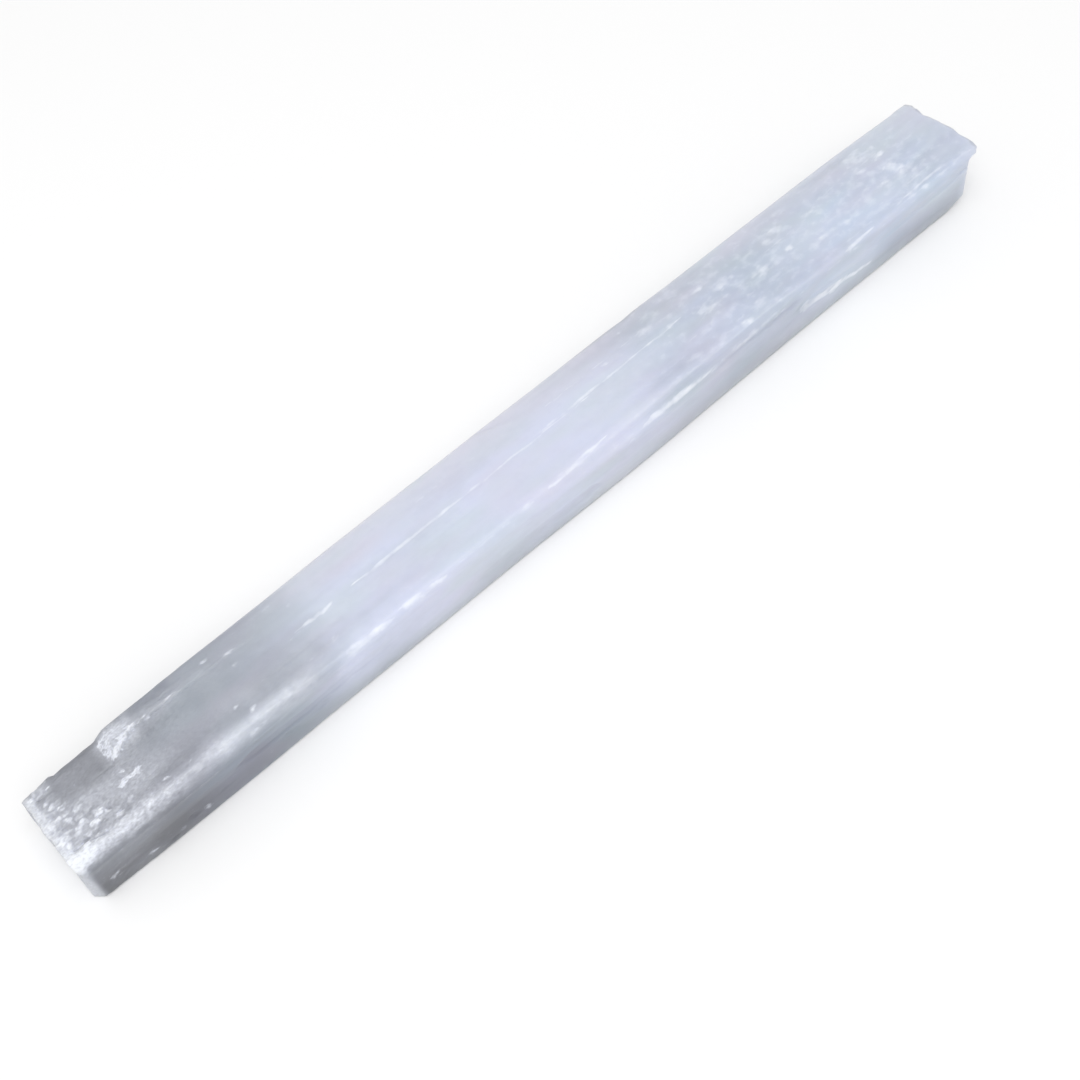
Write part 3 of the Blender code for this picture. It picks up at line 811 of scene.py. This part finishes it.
class Nodes:
    """Short ways to add shader nodes and link them, and the fields that the material reads."""

    def __init__(self, material):
        material.use_nodes = True
        self.tree = material.node_tree
        self.shader = self.tree.nodes["Principled BSDF"]
        place = self.add("ShaderNodeTexCoord", "Object")
        self.fields = {}
        for name in ("milk", "frost", "veil"):
            self.fields[name] = self.add("ShaderNodeAttribute", "Fac", {"attribute_name": name})
        for name in ("x", "y", "z"):
            self.fields[name] = self.add("ShaderNodeSeparateXYZ", name.upper(), Vector=place)
        for name, (along, across, detail) in MATERIAL_NOISES.items():
            self.fields[name] = self.noise(place, along, across, detail)

    def add(self, kind, output=0, settings=(), **inputs):
        """Add a node, and set its properties and its inputs, which go by name or as i0, i1 ..."""
        node = self.tree.nodes.new(kind)
        for name, value in dict(settings).items():
            setattr(node, name, value)
        for name, value in inputs.items():
            numbered = name[0] == "i" and name[1:].isdigit()
            self.put(node.inputs[int(name[1:]) if numbered else name], value)
        return node.outputs[output]

    def put(self, socket, value):
        """Link another node's output to a socket, or set the socket to a number."""
        if isinstance(value, bpy.types.NodeSocket):
            self.tree.links.new(value, socket)
        else:
            socket.default_value = value

    def noise(self, place, along, across, detail):
        """Noise with cells this many millimetres long and wide."""
        scale = (1 / (along * MM), 1 / (across * MM), 1 / (across * MM))
        stretched = self.add("ShaderNodeMapping", i0=place, i3=scale)
        return self.add("ShaderNodeTexNoise", "Fac", Vector=stretched, Scale=1.0, Detail=detail)

    def ranged(self, value, low, high, to_low, to_high):
        return self.add("ShaderNodeMapRange", i0=value, i1=low, i2=high, i3=to_low, i4=to_high)

    def math(self, operation, *values):
        numbered = {f"i{number}": value for number, value in enumerate(values)}
        return self.add("ShaderNodeMath", 0, {"operation": operation}, **numbered)

    def mixed(self, share, first, second):
        """A colour mix; colours are outputs or (r, g, b)."""
        first, second = (
            colour if isinstance(colour, bpy.types.NodeSocket) else (*colour, 1)
            for colour in (first, second)
        )
        return self.add("ShaderNodeMix", 2, {"data_type": "RGBA"}, i0=share, i6=first, i7=second)

    def tinted(self, colour, tints):
        """A colour with tints over it, as in BODY_TINTS."""
        for field, low, high, strength, tint in tints:
            share = self.ranged(self.fields[field], low, high, 0.0, strength)
            colour = self.mixed(share, colour, tint)
        return colour


def cloudiness(nodes):
    """How milky the body is, with fibre-long strands and a fine mottle in it."""
    # The milk field also carries painted shade, at the near end and towards the foot.
    cloudy = nodes.fields["milk"]
    for name in ("strand", "mottle"):
        cloudy = nodes.math("ADD", cloudy, nodes.ranged(nodes.fields[name], *MILK_VARIATION))
    return cloudy


def frost_cover(nodes):
    """How much frost covers the body: soft flecks, or an even, finely speckled veil."""
    fields = nodes.fields
    gritty = nodes.math("MULTIPLY", *(nodes.ranged(fields["x"], *limits) for limits in GRIT_RANGES))
    grit = nodes.math("MULTIPLY", nodes.math("SUBTRACT", fields["crumb"], 0.5), gritty)
    grain = nodes.math("ADD", fields["mottle"], nodes.math("ADD", fields["frost"], grit))
    flecks = nodes.ranged(grain, *FLECK_RANGE)
    haze = nodes.math("MULTIPLY", fields["veil"], nodes.math("ADD", grit, 1.0))
    return nodes.math("MAXIMUM", flecks, haze)


def fine_bump(nodes, cover):
    """Hairlines along the fibres, and crumbs where frost covers them."""
    hair = nodes.math("MULTIPLY", nodes.fields["hair"], HAIR_BUMP)
    crumb_share = nodes.ranged(cover, *CRUMB_BUMP_RANGE)
    relief = nodes.math("MULTIPLY_ADD", nodes.fields["crumb"], crumb_share, hair)
    settings = {"Strength": BUMP_STRENGTH, "Distance": BUMP_HEIGHT, "Height": relief}
    return nodes.add("ShaderNodeBump", 0, **settings)


def selenite_material():
    material = bpy.data.materials.new("selenite")
    nodes = Nodes(material)
    cloudy = cloudiness(nodes)
    cover = frost_cover(nodes)
    clear_body = nodes.tinted(CLEAR_TEAL, CLEAR_TINTS)
    milky_body = nodes.tinted(LAVENDER, BODY_TINTS)
    body = nodes.mixed(cloudy, clear_body, milky_body)
    clear = nodes.math("SUBTRACT", 1.0, nodes.math("MAXIMUM", cloudy, cover))
    sockets = nodes.shader.inputs
    nodes.put(sockets["Base Color"], nodes.mixed(cover, body, FROST))
    nodes.put(sockets["Roughness"], nodes.ranged(cover, *ROUGHNESS_RANGE))
    nodes.put(sockets["Transmission Weight"], nodes.ranged(clear, *TRANSMISSION_RANGE))
    nodes.put(sockets["Normal"], fine_bump(nodes, cover))
    for name, value in EVEN_SETTINGS.items():
        sockets[name].default_value = value
    return material


# --------------------------------------------------------------------------- stage

# Camera, at the photograph's place: it stands over the frosted end and looks along the blade.
CAMERA_PLACE = (-90.14 * MM, -104.73 * MM, 207.82 * MM)
CAMERA_TURN = (31.128, 2.063, -42.934)
CAMERA_LENS = 50.70
CAMERA_SENSOR = 36.0
CAMERA_NEAR = 10 * MM

# The floor lies just under the blade.
FLOOR_SIZE = 4
FLOOR_DROP = 0.1 * MM
FLOOR_COLOUR = (0.96, 0.96, 0.96, 1)
FLOOR_ROUGHNESS = 0.9

WORLD_COLOUR = (1, 1, 1, 1)
WORLD_STRENGTH = 0.68
SOFTBOX_PLACE = (-0.14, -0.16, 0.68)
SOFTBOX_SIZE = 0.6
SOFTBOX_ENERGY = 2.6


def make_camera():
    data = bpy.data.cameras.new("camera")
    data.lens = CAMERA_LENS
    data.sensor_width = CAMERA_SENSOR
    data.clip_start = CAMERA_NEAR
    camera = bpy.data.objects.new("camera", data)
    bpy.context.scene.collection.objects.link(camera)
    camera.location = CAMERA_PLACE
    camera.rotation_euler = [radians(turn) for turn in CAMERA_TURN]
    bpy.context.scene.camera = camera


def make_floor():
    bpy.ops.mesh.primitive_plane_add(size=FLOOR_SIZE, location=(0, 0, -FLOOR_DROP))
    floor = bpy.context.object
    floor.name = "floor"
    material = bpy.data.materials.new("pale_floor")
    material.use_nodes = True
    shader = material.node_tree.nodes["Principled BSDF"]
    shader.inputs["Base Color"].default_value = FLOOR_COLOUR
    shader.inputs["Roughness"].default_value = FLOOR_ROUGHNESS
    floor.data.materials.append(material)


def make_lights():
    world = bpy.data.worlds.new("studio")
    world.use_nodes = True
    background = world.node_tree.nodes["Background"]
    background.inputs["Color"].default_value = WORLD_COLOUR
    background.inputs["Strength"].default_value = WORLD_STRENGTH
    bpy.context.scene.world = world
    data = bpy.data.lights.new("softbox", "AREA")
    data.size = SOFTBOX_SIZE
    data.energy = SOFTBOX_ENERGY
    light = bpy.data.objects.new("softbox", data)
    light.location = SOFTBOX_PLACE
    light.rotation_euler = Vector(SOFTBOX_PLACE).to_track_quat("Z", "Y").to_euler()
    bpy.context.scene.collection.objects.link(light)


def main():
    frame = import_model()
    make_camera()
    make_floor()
    make_lights()
    blade = make_blade(frame)
    blade.data.materials.append(selenite_material())
    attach(blade, "root")
    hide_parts(NODE)
    bpy.context.scene.view_settings.view_transform = "Standard"


main()
